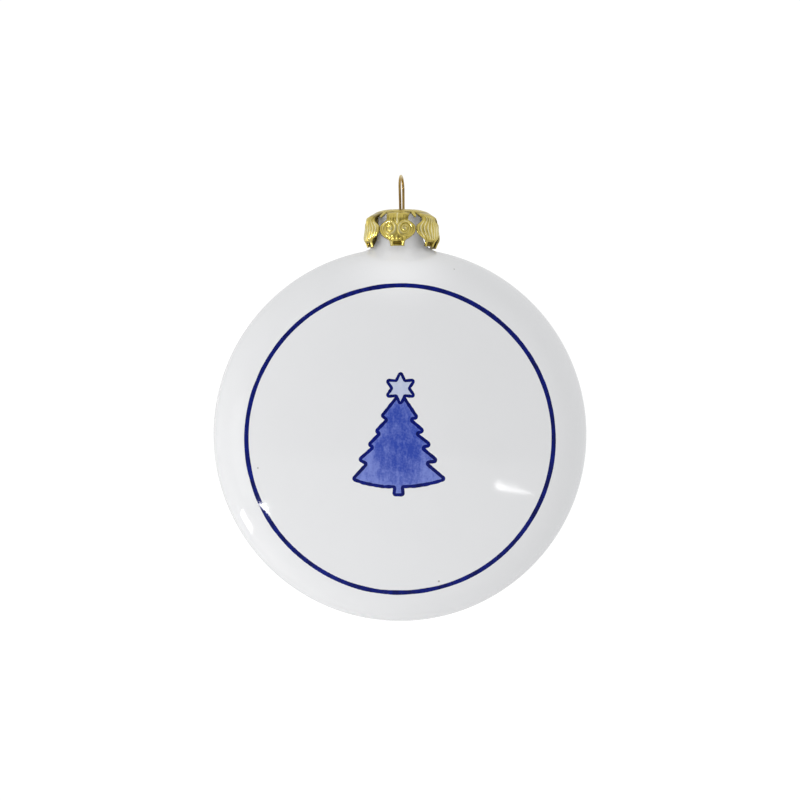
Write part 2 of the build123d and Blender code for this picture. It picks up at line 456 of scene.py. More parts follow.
def brushed_pigment():
    """Cobalt laid on with a wet brush: cloudy pools crossed by fine upright streaks."""
    name = "Brushed pigment"
    if name in bpy.data.node_groups:
        return bpy.data.node_groups[name]
    inputs = {
        "Thick": (0, 0, 0.3, 1), "Thin": (0.2, 0.3, 0.6, 1),
        "Cloud scale": 260.0, "Streak scale": 900.0, "Streaks": 0.35, "Pool": 0.0,
    }
    group, given = new_group(name, inputs)
    place = object_place(group)
    cloud = noise(group, place, given["Cloud scale"], roughness=0.55)
    cloud = remap(group, cloud, 0.25, 0.75, 0.36, 0.64)
    grain = noise(group, place, 2400.0, detail=2.0, roughness=0.6)
    grain = remap(group, grain, 0.3, 0.7, -0.12, 0.12)
    streak = noise(group, place, given["Streak scale"], roughness=0.6, stretch=(1.0, 1.0, 0.4))
    streak = remap(group, streak, 0.3, 0.7, -0.5, 0.5)
    streak = maths(group, "MULTIPLY", streak, given["Streaks"])
    thickness = given["Pool"]
    for layer in (cloud, grain, streak):
        thickness = maths(group, "ADD", thickness, layer)
    thickness = remap(group, thickness, 0.0, 1.0)
    return put_out(group, {"Base Color": blended(group, thickness, given["Thin"], given["Thick"])})


def handled_metal():
    """Lacquered metal, finely grained, lighter where its relief is high and darker where it is low;
    on the cap these are wear with painted highlight on the raised stamping and painted shade in the
    hollows.
    """
    name = "Handled metal"
    if name in bpy.data.node_groups:
        return bpy.data.node_groups[name]
    inputs = {
        "Base": (0.6, 0.5, 0.2, 1), "Worn": (0.8, 0.7, 0.4, 1), "Recess": (0.2, 0.15, 0.03, 1),
        "Relief": 0.5, "Patch scale": 420.0, "Grain scale": 3000.0, "Grain depth": 0.03,
    }
    group, given = new_group(name, inputs)
    place = object_place(group)
    patch = noise(group, place, given["Patch scale"], roughness=0.6)
    shift = remap(group, patch, 0.3, 0.7, -0.12, 0.12)
    height = maths(group, "ADD", given["Relief"], shift)
    # Darker towards low relief, the painted shade in the cap's hollows; lighter towards high
    # relief, wear and painted highlight on the cap's raised stamping.
    mixed = blended(group, remap(group, height, 0.12, 0.5), given["Recess"], given["Base"])
    mixed = blended(group, remap(group, height, 0.6, 0.9), mixed, given["Worn"])
    rough = remap(group, patch, 0.25, 0.75, 0.2, 0.34)
    rough = maths(group, "SUBTRACT", rough, remap(group, height, 0.5, 1.0, 0.0, 0.08))
    grain = noise(group, place, given["Grain scale"], detail=2.0)
    normal = bump(group, 0.6, given["Grain depth"], grain)
    return put_out(group, {"Base Color": mixed, "Roughness": rough, "Normal": normal})


# ---- materials ---------------------------------------------------------------------------------
def glaze_material(settings):
    """White glaze with a faint cloudiness and a few tiny specks."""
    material, tree, shader = new_material("White glaze", IOR=1.5)
    place = object_place(tree)
    cloud = remap(tree, noise(tree, place, 60.0), 0.3, 0.7, 0.0, 0.035)
    white = blended(tree, cloud, rgba(settings.glaze), (0.6, 0.6, 0.6, 1))
    cells = add_node(tree, "ShaderNodeTexVoronoi", {"Vector": place, "Scale": 75.0})
    near = remap(tree, cells.outputs["Distance"], 0.012, 0.02, 1.0, 0.0)
    chance = add_node(tree, "ShaderNodeSeparateColor", {0: cells.outputs["Color"]}).outputs[0]
    speck = maths(tree, "MULTIPLY", near, maths(tree, "GREATER_THAN", chance, 0.45))
    speck = maths(tree, "MULTIPLY", speck, 0.7)
    tree.links.new(blended(tree, speck, white, rgba(settings.speck)), shader.inputs["Base Color"])
    cover(tree, shader, glaze_surface())
    return material


def pigment_material(name, thick, thin, cloud_scale, streaks, pool=None):
    """Cobalt under the glaze. The pool is the place where the brush left most."""
    if name in bpy.data.materials:
        return bpy.data.materials[name]
    material, tree, shader = new_material(name, IOR=1.5, Specular_IOR_Level=0.15)
    pigment = cover(
        tree, shader, brushed_pigment(), Thick=rgba(thick), Thin=rgba(thin),
        Cloud_scale=cloud_scale, Streaks=streaks,
    )
    if pool:
        links = {"Vector": object_place(tree), "Location": -POOL_SCALE * pool, "Scale": POOL_SCALE}
        apart = add_node(tree, "ShaderNodeMapping", links).outputs[0]
        far = add_node(tree, "ShaderNodeVectorMath", {0: apart}, operation="LENGTH")
        depth = remap(tree, far.outputs["Value"], 0.1, 1.2, 0.38, -0.28)
        tree.links.new(depth, pigment.inputs["Pool"])
    cover(tree, shader, glaze_surface())
    return material


def metal_material(name, base, wear_and_highlight, hollow_shade_and_tarnish, relief=None, patch_scale=420.0, depth=0.005 * MM):
    """Gold-coloured metal. Without a relief of its own it takes the piece's relief attribute."""
    material, tree, shader = new_material(name, Metallic=1.0)
    if relief is None:
        relief = add_node(tree, "ShaderNodeAttribute", attribute_name="relief").outputs["Fac"]
    cover(
        tree, shader, handled_metal(), Base=rgba(base), Worn=rgba(wear_and_highlight), Recess=rgba(hollow_shade_and_tarnish),
        Relief=relief, Patch_scale=patch_scale, Grain_depth=depth,
    )
    return material


# ---- the ceramic body --------------------------------------------------------------------------
def dome_shape(rim_radius):
    """The sharp edge's radius, each dome's rise and each dome's own radius."""
    edge = DISC_RADIUS - rim_radius
    rise = HALF_THICKNESS - rim_radius
    return edge, rise, (edge**2 + rise**2) / (2 * rise)


def lens_distance(points, rim_radius):
    """Distance from the disc's outer surface, negative inside.

    Two equal domes meet in a sharp edge, and everything is then grown by the rim's radius, which
    turns the edge into the round rim. A dome's distance is the distance from its centre less its
    radius, and beyond the edge the distance is measured from the edge itself.
    """
    out = np.hypot(points[..., 0], points[..., 2] - DISC_Z)
    deep = np.abs(points[..., 1])
    edge, rise, dome = dome_shape(rim_radius)
    sunk = dome - rise
    beyond = (out - edge) * sunk > deep * edge
    from_dome = np.hypot(out, deep + sunk) - dome
    return np.where(beyond, np.hypot(out - edge, deep), from_dome) - rim_radius


def face_depth(out, rim_radius):
    """Half the disc's thickness at a distance out from its axis."""
    edge, rise, dome = dome_shape(rim_radius)
    tangent = edge * (dome + rim_radius) / dome
    on_dome = np.sqrt((dome + rim_radius) ** 2 - np.minimum(out, tangent) ** 2) - (dome - rise)
    on_rim = np.sqrt(np.maximum(rim_radius**2 - np.maximum(out - edge, 0) ** 2, 0))
    return np.where(out > tangent, on_rim, on_dome)


def joined_post(points, disc, radius, width):
    """A disc's distance joined to that of an upright post that stands on its centre.

    It is the lower of the two, rounded over the width where they are nearly equal.
    """
    post = np.hypot(points[..., 0], points[..., 1]) - radius
    post = np.maximum(post, DISC_Z - points[..., 2])
    near = np.maximum(width - np.abs(disc - post), 0) / width
    return np.minimum(disc, post) - near * near * width / 4


def outer_distance(points, s):
    """Distance from the outside of the disc and its neck, a slightly tapered post."""
    radius = s.neck_radius + s.neck_draft * (NECK_TOP_Z - points[..., 2])
    return joined_post(points, lens_distance(points, s.rim_radius), radius, s.neck_blend)


def hollow_distance(points, s):
    """Distance from the hollow inside: the disc less its wall, joined to the neck's bore."""
    disc = lens_distance(points, s.rim_radius) + s.wall
    return joined_post(points, disc, s.bore_radius, 0.5 * s.wall)


def slope_normals(points, distance, s):
    """Outward normals of a shape: the slope of its distance along x, y and z."""
    slopes = [distance(points + d, s) - distance(points - d, s) for d in np.eye(3) * 1e-6]
    return unit(np.stack(slopes, axis=-1))


def along_rays(tilt, turn, distance, s):
    """Points where rays from the disc's centre leave a shape.

    Tilt is the ray's angle from straight up and turn its angle round the upright axis. The way
    out is halved 40 times between a point inside and one outside.
    """
    centre = np.array([0.0, 0.0, DISC_Z])
    flat = np.sin(tilt)[..., None] * round_about(turn)
    way = np.concatenate([flat, np.cos(tilt)[..., None]], axis=-1)
    inside = np.full(tilt.shape, 1 * MM)
    outside = np.full(tilt.shape, 2 * DISC_RADIUS)
    for _ in range(40):
        middle = (inside + outside) / 2
        within = distance(centre + middle[..., None] * way, s) < 0
        inside = np.where(within, middle, inside)
        outside = np.where(within, outside, middle)
    return centre + inside[..., None] * way


def skin(top_z, top_radius, turn, distance, s, spacing, fine):
    """Points of one skin of the casting, from its lowest point up to the neck, and its normals.

    Rows are spaced evenly over the surface: one meridian is followed with many rays, its length
    is added up, counted several times over near the neck, and cut into even steps.
    """
    last = math.atan2(top_radius, top_z - DISC_Z)
    tilt = math.pi - (math.pi - last) * (1 - (1 - np.linspace(0, 1, 6000)) ** 2)
    points = along_rays(tilt, np.zeros_like(tilt), distance, s)
    steps = np.linalg.norm(np.diff(points, axis=0), axis=1)
    steps *= 1 + fine * (points[1:, 2] > DISC_Z + 0.95 * DISC_RADIUS)
    run = np.concatenate([[0], np.cumsum(steps)])
    wanted = np.linspace(0, run[-1], int(run[-1] / spacing))[1:]
    tilts = np.interp(wanted, run, tilt)
    points = along_rays(*np.meshgrid(tilts, turn, indexing="ij"), distance, s)
    return points, slope_normals(points, distance, s)


def lip_profile(s):
    """Outline over the neck's lip, from outside to inside, as radius, height and normal."""
    inner = s.lip_round / 2
    quarter = np.linspace(0, math.pi / 2, 7)
    parts = []
    for middle, radius, start in [
        (s.neck_radius - s.lip_round, s.lip_round, 0),
        (s.bore_radius + inner, inner, math.pi / 2),
    ]:
        arc = round_about(start + quarter)
        parts.append(np.hstack([[middle, NECK_TOP_Z - radius] + radius * arc, arc]))
    return np.vstack(parts)


def ceramic_surface(s, columns=256):
    """The whole casting as one closed grid.

    Rows run from the lowest point up the outside, over the lip, down the bore and round the
    hollow to its lowest point. Columns go round the upright axis, closer together at the rim.
    """
    even = np.linspace(0, math.tau, columns, endpoint=False)
    turn = even - 0.22 * np.sin(2 * even)
    outer, outer_normals = skin(
        NECK_TOP_Z - 1.3 * s.lip_round, s.neck_radius, turn, outer_distance, s, 0.62 * MM, 1.6
    )
    inner, inner_normals = skin(
        NECK_TOP_Z - s.lip_round, s.bore_radius, turn, hollow_distance, s, 2.6 * MM, 1.2
    )
    lip = np.broadcast_to(lip_profile(s)[:, None], (14, columns, 4))
    circle = round_about(turn)
    over, over_normals = (
        np.concatenate([lip[..., k : k + 1] * circle, lip[..., k + 1 : k + 2]], axis=-1)
        for k in (0, 2)
    )
    lowest = [0, 0, DISC_Z - DISC_RADIUS]
    floor = [0, 0, DISC_Z - DISC_RADIUS + s.wall]
    points, faces = capped_grid(np.concatenate([outer, over, inner[::-1]]), lowest, floor)
    normals = np.concatenate([outer_normals, over_normals, -inner_normals[::-1]])
    normals = np.vstack([normals.reshape(-1, 3), [0, 0, -1], [0, 0, 1]])
    return points, normals, faces


# ---- the painting ------------------------------------------------------------------------------
TREE_APEX = (0.1, 8.7)
TREE_RIGHT = [
    (3.4, 3.7), (2.2, 3.45), (4.7, 0.95), (3.5, 0.45), (6.1, -1.9), (4.7, -2.5), (7.5, -5.2),
    (5.5, -5.6), (9.05, -9.0), (7.3, -9.65), (5.3, -10.1), (3.0, -10.45), (0.55, -10.65),
    (0.55, -12.15),
]
TREE_LEFT = [
    (-3.6, 4.1), (-2.8, 3.3), (-4.8, 0.95), (-4.3, 0.4), (-6.3, -1.85), (-5.65, -2.4),
    (-8.25, -4.95), (-7.0, -5.85), (-9.55, -8.95), (-7.7, -9.75), (-5.6, -10.2), (-3.4, -10.55),
    (-1.15, -10.65), (-1.15, -12.15),
]
STAR_CENTRE = np.array([0.1, 9.8]) * MM
TIP_ROUND = {"tree": 0.33 * MM, "star": 0.28 * MM}

# Heights above the glaze: the washes, and what each drawn line stands on.
TREE_WASH, STAR_WASH = 0.012 * MM, 0.045 * MM
TREE_LINE, STAR_LINE = 0.01 * MM, 0.035 * MM
LINE_CREST, LINE_FOOT = 0.03 * MM, 0.01 * MM

# The wash is deepest round this place on each face, and reaches further up than across.
POOL_X, POOL_DROP = 0.2 * MM, 1.5 * MM
POOL_SCALE = np.array([1.0, 1.0, 0.66]) / (7.6 * MM)

FACES = {"front": -1, "back": 1}


def on_face(flat, lift, facing, rim_radius):
    """Puts a flat drawing, in x and height from the disc's centre, onto the domed face."""
    x, up = flat[..., 0], flat[..., 1]
    deep = face_depth(np.hypot(x, up), rim_radius) + lift
    return np.stack([-facing * x, facing * deep, DISC_Z + up], axis=-1)


def star_outline(radius):
    """Corners of a regular six-pointed star, in metres, clockwise from its top point."""
    angle = np.arange(12) * math.tau / 12
    reach = np.where(np.arange(12) % 2, radius / math.sqrt(3), radius)
    return STAR_CENTRE + reach[:, None] * round_about(angle)[:, ::-1]


def film(scene, names, material, flat, lift, faces, facing):
    """Lays a thin film on one face from a flat drawing. The names are as for a line."""
    rim = scene.ornament_body.rim_radius
    points = on_face(flat, lift, facing, rim)
    piece = new_piece(names[0], points, faces, slope_normals(points, lens_distance, rim))
    settle(piece, material, "ornament_body", names[1])


def paint_line(scene, names, path, width, facing, base=0.0, across=9):
    """A closed line painted on one face, given its piece's and its CAD node's names.

    Points stand either side of the path along its normal, to half the width. The height falls
    from the crest to just below the glaze with the sixth power of the distance from the middle.
    """
    s = scene.ornament_paint
    ahead = unit(np.roll(path, -1, axis=0) - np.roll(path, 1, axis=0))
    side = np.stack([ahead[:, 1], -ahead[:, 0]], axis=1)
    share = np.linspace(-1, 1, across)
    flat = path[:, None] + (width[:, None] / 2 * share)[..., None] * side[:, None]
    lift = base + LINE_CREST * (1 - share**6) - LINE_FOOT * share**6
    quads = grid_quads(*flat.shape[:2], wrap_rows=True)
    cobalt = pigment_material("Cobalt line", s.line_dark, s.line_light, 650.0, 0.55)
    film(scene, names, cobalt, flat, lift, [quads], facing)


def tree_sheet(inset=0.12, rows=220, columns=48):
    """The tree's painted area: rows at each height run from its left edge to its right edge."""
    right, left = (np.array([TREE_APEX, *side])[::-1] for side in (TREE_RIGHT, TREE_LEFT))
    left[1, 1] -= 0.01
    height = np.linspace(TREE_APEX[1] - 2 * inset, right[0, 1] + inset, rows)
    start = np.interp(height, left[:, 1], left[:, 0]) + inset
    end = np.interp(height, right[:, 1], right[:, 0]) - inset
    x = start[:, None] + (end - start)[:, None] * np.linspace(0, 1, columns)
    return np.stack([x, np.broadcast_to(height[:, None], x.shape)], axis=-1) * MM


def star_sheet(radius, rows=12, columns=120):
    """The star's painted area: rings of its own outline, shrinking to its centre."""
    outline = resampled(star_outline(radius), math.tau * radius / columns, closed=True)
    share = np.linspace(1, 0.04, rows)[:, None, None]
    return STAR_CENTRE + share * (outline - STAR_CENTRE)


# ---- the cap -----------------------------------------------------------------------------------
CAP_PROFILE = [(0, 0), (5.2, 0), (7.62, 1.7), (7.68, 4.0), (8.05, 6.2), (7.4, 7.9)]
CAP_BENDS = [0, 2.6, 1.1, 4.0, 1.8, 0]
PETAL_DROPS = [0.5, 0.95, 1.8, 2.5, 3.1, 3.6, 4.2, 4.9, 5.5, 6.1, 6.5, 6.85, 7.2, 7.9]
PETAL_HALF_WIDTHS = [2.75, 2.55, 2.35, 2.45, 3.3, 3.85, 4.0, 3.92, 3.55, 2.85, 2.2, 1.72, 1.6, 1.5]
ROOT_DROP = 0.5
WINDOW_TOP = 0.82
TOOTH_DROP = 1.75
TOOTH_HALF_WIDTH = 0.9
VOLUTE_DROP = 4.25
VOLUTE_OFFSET = 1.66
VOLUTE_RADIUS = 1.5
VOLUTE_PITCH = 0.74


def cap_profile():
    """Section of the cap's outer side: run, radius, drop and the outward normal, in mm.

    The corners are rounded by arcs, and the normal is the line's direction turned a quarter.
    """
    path = rounded_path(CAP_PROFILE, CAP_BENDS, 0.02)
    ahead = unit(np.gradient(path, axis=0))
    return run_along(path), path[:, 0], path[:, 1], ahead[:, 1], ahead[:, 0]


def stamped_point(run, angle, relief, profile, s):
    """Places points of the cap: along its section, round its axis and out along its normal."""
    along, radius, drop, normal_out, normal_up = profile
    height = relief * s.relief / MM
    out = np.interp(run, along, radius) + height * np.interp(run, along, normal_out)
    up = -np.interp(run, along, drop) + height * np.interp(run, along, normal_up)
    turn = angle + s.yaw - math.pi / 2
    x = s.offset + out * np.cos(turn) * MM
    return np.stack([x, out * np.sin(turn) * MM, CAP_TOP_Z + up * MM], axis=-1)


def scroll_relief(x, drop):
    """Height of two scrolls side by side with a ridge and a drop between them.

    A scroll is a ridge whose distance from its middle grows evenly as it goes round, with a
    knob in the middle and a plain rim round it.
    """
    height = np.zeros(np.broadcast(x, drop).shape)
    for side in (-1, 1):
        across = (x - side * VOLUTE_OFFSET) * side
        down = drop - VOLUTE_DROP
        away = np.hypot(across, down * 0.94)
        round_it = np.arctan2(down, across) / math.tau
        ridge = 0.5 + 0.5 * np.cos(math.tau * (away / VOLUTE_PITCH - round_it - 0.15))
        scroll = ridge**1.5 * step(away, VOLUTE_RADIUS + 0.15, VOLUTE_RADIUS - 0.1)
        height += 0.6 * scroll * step(away, 0.15, 0.45)
        height += 0.6 * hump(away, 0, 0.28)
        height += 0.55 * hump(away, VOLUTE_RADIUS - 0.05, 0.2)
        height += 0.35 * step(away, VOLUTE_RADIUS, 0.2)
    spine = hump(x, 0, 0.2) * step(drop, 0.9, 1.3) * step(drop, 3.4, 2.9)
    drop_end = np.exp(-((x / 0.34) ** 2) - ((drop - 2.85) / 0.5) ** 2)
    ripple = 0.5 + 0.5 * np.cos(math.tau * (np.abs(x) / 0.55 + 0.1))
    ripple = ripple * step(drop, 1.3, 1.7) * step(drop, 2.9, 2.4)
    return height + 0.8 * spine + 1.0 * drop_end + 0.25 * ripple


def leaf_relief(x, drop, half_width):
    """Height of a leaf: wavy flutes that run down the petal and spread with its width."""
    spread = x / (half_width / 3.9) ** 0.5
    sway = 0.24 * np.sin(math.tau * (drop - 1.2) / 4.2) * np.tanh(x)
    flutes = 0.5 + 0.5 * np.cos(math.tau * (np.abs(spread) + sway * np.sign(x)) / 0.92)
    fade = step(drop, 1.1, 1.9) * step(drop, 6.9, 6.3)
    return (0.85 * flutes + 0.3 * hump(drop, 4.3, 1.8)) * fade


def petal_relief(x, drop, half_width, leaf):
    """Height of the stamping on one petal, from 0 to about 1.

    Every petal has a bead along its edge, a line under its root, a few flutes above its tab and
    a dent in the tab. Between them are either scrolls or a leaf.
    """
    edge = half_width - np.abs(x)
    bead = hump(edge, 0.34, 0.19) * step(drop, 1.9, 3.0)
    inner = step(edge, 0.35, 0.75)
    lower = step(drop, 5.5, 5.9) * step(drop, 6.9, 6.5)
    flutes = (0.5 + 0.5 * np.cos(math.tau * x / 0.8)) * lower
    collar = hump(drop, 1.05, 0.22) * step(np.abs(x), 2.5, 1.6)
    dimple = step(np.abs(x), 0.95, 0.7) * step(drop, 7.0, 7.15) * step(drop, 7.7, 7.5)
    middle = leaf_relief(x, drop, half_width) if leaf else scroll_relief(x, drop) + 0.3 * flutes
    return middle * inner + 0.7 * bead + 0.35 * collar - 1.2 * dimple


def run_at(drop, profile):
    """How far along the cap's section a drop lies, past the flat top."""
    along, _, drops, _, _ = profile
    return np.interp(drop, drops[1:] + 1e-9 * np.arange(1, len(drops)), along[1:])


def cap_surface(s, across=64, down=60, gap=16, rings=30):
    """The cap's outer side: a top with teeth between its petals, and one patch per petal.

    A petal's row goes across it from edge to edge, and its half width is a smooth function of
    the drop. The top is rings round the axis that end at the petals' roots and, between them,
    in a line that drops to a tooth in the middle of each gap.
    """
    profile = cap_profile()
    along, radius, drop = profile[:3]
    pitch = math.tau / s.petals
    share = np.linspace(-1, 1, across + 1)
    root_run = float(run_at(ROOT_DROP, profile))
    root_radius = np.interp(root_run, along, radius)
    runs = np.linspace(root_run, along[-1], down)[:, None]
    drops = np.interp(runs, along, drop)
    half = flowing(drops, PETAL_DROPS, PETAL_HALF_WIDTHS)
    x = half * share
    bend = x / np.interp(runs, along, radius)
    root = step(drops, ROOT_DROP, ROOT_DROP + 0.4)
    points, reliefs, quads = [], [], []
    for k in range(s.petals):
        relief = root * petal_relief(x, drops, half, leaf=k % 2 == 1)
        points.append(stamped_point(runs, bend + k * pitch, relief, profile, s).reshape(-1, 3))
        reliefs.append(relief.ravel())
        quads.append(grid_quads(*x.shape) + k * x.size)
    root_angle = half[0, 0] / root_radius
    gap_angle = pitch - 2 * root_angle
    gap_share = np.linspace(0, 1, gap + 2)[1:-1]
    off = np.abs(gap_share - 0.5)
    lobe = ROOT_DROP + (WINDOW_TOP - ROOT_DROP) * step(off, 0.5, 0.3)
    near = np.maximum(1 - off * gap_angle * root_radius / TOOTH_HALF_WIDTH, 0)
    tooth = (TOOTH_DROP - WINDOW_TOP) * near**1.3
    edge = np.concatenate([np.full(across + 1, root_run), run_at(lobe + tooth, profile)])
    sector = np.concatenate([root_angle * share, root_angle + gap_angle * gap_share])
    angles = (np.arange(s.petals)[:, None] * pitch + sector).ravel()
    ring_runs = np.linspace(0.02, 1, rings)[:, None] * np.tile(edge, s.petals)
    relief = 0.45 * hump(ring_runs, 4.3, 0.25)
    points.append(stamped_point(ring_runs, angles, relief, profile, s).reshape(-1, 3))
    points.append(stamped_point(np.zeros(1), 0, np.zeros(1), profile, s))
    reliefs.extend([relief.ravel() + 0.35, np.full(1, 0.35)])
    start = s.petals * x.size
    quads.append(grid_quads(*ring_runs.shape, wrap_columns=True) + start)
    fan = pole_fan(start + ring_runs.size, start + np.arange(len(angles)), flip=False)
    return np.concatenate(points), np.concatenate(reliefs), np.concatenate(quads), fan


def cut_holes(points, quads, centres, radius):
    """Leaves out the quads in each round hole and draws the hole's border onto its circle."""
    middles = points[quads].mean(axis=1)
    kept = np.ones(len(quads), dtype=bool)
    for centre in centres:
        inside = np.linalg.norm(middles[:, :2] - centre, axis=1) < radius
        inside &= middles[:, 2] > CAP_TOP_Z - 0.5 * MM
        border = np.intersect1d(quads[inside], quads[kept & ~inside])
        away = points[border, :2] - centre
        away *= radius / np.linalg.norm(away, axis=1, keepdims=True)
        points[border, :2] = centre + away
        kept &= ~inside
    return quads[kept]


def merge_close(piece, distance):
    """Joins points that lie together, drops loose ones and turns every face outwards."""
    work = bmesh.new()
    work.from_mesh(piece.data)
    bmesh.ops.remove_doubles(work, verts=work.verts, dist=distance)
    loose = [v for v in work.verts if not v.link_faces]
    bmesh.ops.delete(work, geom=loose, context="VERTS")
    bmesh.ops.recalc_face_normals(work, faces=work.faces)
    top = max(work.faces, key=lambda f: f.calc_center_median().z)
    if top.normal.z < 0:
        bmesh.ops.reverse_faces(work, faces=work.faces)
    work.to_mesh(piece.data)
    work.free()


# ---- the hanger --------------------------------------------------------------------------------
def hanger_path(s):
    """The wire's middle line in its own plane, from one tip over the loop to the other.

    The arch is half a circle, its sides lean in to the holes in the cap, and below the cap the
    legs run straight, spread to the bore and bend in a little at their tips.
    """
    side = [
        (s.leg_spread - 0.7 * MM, TIP_Z + 0.05 * MM),
        (s.leg_spread, TIP_Z + 3.0 * MM),
        (s.leg_spread, CAP_TOP_Z - 7.5 * MM),
        (s.leg_half_spacing, CAP_TOP_Z - 5.9 * MM),
        (s.leg_half_spacing, CAP_TOP_Z + 0.3 * MM),
    ]
    leg = rounded_path(side, np.array([0, 4.0, 3.0, 3.0, 0]) * MM, 0.12 * MM)
    middle = [0, LOOP_TOP_Z - s.wire / 2 - s.loop_half_width]
    arch = middle + s.loop_half_width * round_about(np.linspace(0.06, math.pi / 2, 40))
    half = np.vstack([leg, arch])
    return resampled(np.vstack([half, half[-2::-1] * [-1, 1]]), 0.12 * MM)


def wire_surface(s, cap, around=28):
    """A round wire carried along its path, with rounded ends.

    Rings stand square to the path. At each end they shrink as a quarter circle to a point.
    """
    path = hanger_path(s)
    facing = cap.yaw - math.pi / 2
    flat = np.array([math.cos(facing), math.sin(facing), 0.0])
    square = np.array([-math.sin(facing), math.cos(facing), 0.0])
    above = np.clip((path[:, 1] - CAP_TOP_Z) / (LOOP_TOP_Z - CAP_TOP_Z), 0, 1)
    lean = -s.lean * above**1.5
    line = path[:, :1] * flat + lean[:, None] * square + path[:, 1:] * [0, 0, 1]
    line[:, 0] += cap.offset
    ahead = unit(np.gradient(line, axis=0))
    side = unit(np.cross(square, ahead))
    ends = np.sin(np.linspace(0.2, math.pi / 2, 4))
    radius = np.full(len(line), s.wire / 2)
    radius[:4] *= ends
    radius[-4:] *= ends[::-1]
    ring = round_about(np.linspace(0, math.tau, around, endpoint=False))
    spokes = ring[:, :1] * side[:, None] + ring[:, 1:] * np.cross(ahead, side)[:, None]
    tube = line[:, None] + radius[:, None, None] * spokes
    points, faces = capped_grid(tube, line[0], line[-1])
    # The colour turns lighter towards the top of the loop.
    toward_loop_top = 0.35 + 0.5 * hump(path[:, 1], LOOP_TOP_Z, 1.6 * MM)
    return points, np.concatenate([np.repeat(toward_loop_top, around), toward_loop_top[[0, -1]]]), faces


# ---- the stage ---------------------------------------------------------------------------------
# Direction from the disc's centre, distance, width and height in metres, and power in watts.
# The left lamp lights without being mirrored, because its glint stands for it.
SOFTBOXES = {
    "left_lamp": ((-0.645, -0.685, -0.345), 0.6, 0.105, 0.04, 0.42),
    "left_back_lamp": ((-0.83, 0.2, -0.48), 0.6, 0.17, 0.07, 0.33),
    "key": ((-0.87, -0.42, -0.1), 1.0, 0.5, 0.6, 0.8),
}
# Lamps that are only mirrored: direction, distance, length, height, brightness and roll.
GLINTS = {
    "left_glint": ((-0.652, -0.678, -0.345), 0.6, 0.1, 0.046, 120.0, math.pi),
    "right_glint": ((0.517, -0.82, -0.262), 0.9, 0.17, 0.024, 11.0, -0.2),
}


def studio_world(s):
    """A pale room, white to the eye, that mirrors dimmer where the camera stands."""
    world = bpy.data.worlds.new("Pale room")
    world.use_nodes = True
    tree = world.node_tree
    tree.nodes.clear()
    way = add_node(tree, "ShaderNodeTexCoord").outputs["Generated"]
    parts = add_node(tree, "ShaderNodeSeparateXYZ", {0: way})
    ray = add_node(tree, "ShaderNodeLightPath")
    dimmed = remap(tree, parts.outputs[1], -0.94, -0.6, s.face_light - s.side_light, 0.0)
    dimmed = maths(tree, "MULTIPLY", dimmed, ray.outputs["Is Glossy Ray"])
    behind = remap(tree, parts.outputs[1], 0.0, 0.6, s.side_light, s.back_light)
    level = maths(tree, "ADD", behind, dimmed)
    room = add_node(tree, "ShaderNodeBackground", {"Strength": level, "Color": (0.99, 0.995, 1, 1)})
    seen = add_node(tree, "ShaderNodeBackground", {"Strength": 1.05, "Color": (1, 1, 1, 1)})
    mix = add_node(
        tree, "ShaderNodeMixShader",
        {0: ray.outputs["Is Camera Ray"], 1: room.outputs[0], 2: seen.outputs[0]},
    )
    add_node(tree, "ShaderNodeOutputWorld", {"Surface": mix.outputs[0]})
    bpy.context.scene.world = world


def new_lamp(name, kind, power, **settings):
    """A lamp that the camera doesn't see."""
    data = bpy.data.lights.new(name, kind)
    data.energy = power
    for key, value in settings.items():
        setattr(data, key, value)
    lamp = new_object(name, data)
    lamp.visible_camera = False
    return lamp


def softbox(name, way, distance, width, height, power, roll=0.0, aside=0.0):
    """A rectangular light that faces the disc's centre from a direction."""
    light = new_lamp(name, "AREA", power, shape="RECTANGLE", size=width, size_y=height)
    way = Vector(way).normalized()
    turn = (-way).to_track_quat("-Z", "Y") @ Matrix.Rotation(roll, 3, "Z").to_quaternion()
    light.rotation_mode = "QUATERNION"
    light.rotation_quaternion = turn
    light.location = Vector((0, 0, DISC_Z)) + distance * way + turn @ Vector((aside, 0, 0))
    return light


def wedge_lamp(name, way, distance, length, height, brightness, roll, parts=8):
    """A lamp that narrows to a point: strips side by side, each lower than the last.

    Each strip's power is pi times its area times the brightness, so all look equally bright.
    """
    strip = length / parts
    for part in range(parts):
        tall = height * (1 - (part + 0.5) / parts)
        aside = strip * (part + 0.5) - length / 2
        power = math.pi * strip * tall * brightness
        light = softbox(f"{name}_{part}", way, distance, strip, tall, power, roll, aside)
        light.visible_diffuse = False


def neck_spot(power=3.0, distance=0.5, tilt=0.05, aim_drop=4 * MM):
    """A narrow spotlight from the front and a little below that lifts the shadow on the neck."""
    light = new_lamp(
        "neck_spot", "SPOT", power,
        spot_size=math.radians(3.4), spot_blend=1.0, shadow_soft_size=6 * MM,
    )
    light.location = (0, -distance, NECK_TOP_Z - distance * tilt - aim_drop)
    light.rotation_euler = (math.pi / 2 + tilt, 0, 0)
    light.visible_glossy = False


def floor_piece(s, rings=24, around=96):
    """A wide round floor: rings that widen with the square of their number."""
    reach = 3.0 * np.linspace(0.05, 1, rings) ** 2
    circle = round_about(np.linspace(0, math.tau, around, endpoint=False))
    flat = np.vstack([(reach[:, None, None] * circle).reshape(-1, 2), [0, 0]])
    points = np.column_stack([flat, np.full(len(flat), DISC_Z - DISC_RADIUS - s.floor_drop)])
    quads = grid_quads(rings, around, wrap_columns=True)[:, ::-1]
    fan = pole_fan(rings * around, np.arange(around), flip=False)
    return new_piece("studio_floor", points, [quads, fan])


# ---- operators ---------------------------------------------------------------------------------
class ORNAMENT_OT_body(Operator):
    """Make the hollow glazed body with its neck"""

    bl_idname = "ornament.make_body"
    bl_label = "Ceramic body"

    def execute(self, context):
        s = context.scene.ornament_body
        points, normals, faces = ceramic_surface(s)
        piece = new_piece("glazed_body", points, faces, normals)
        settle(piece, glaze_material(s), "ornament_body", "ceramic_body")
        return {"FINISHED"}


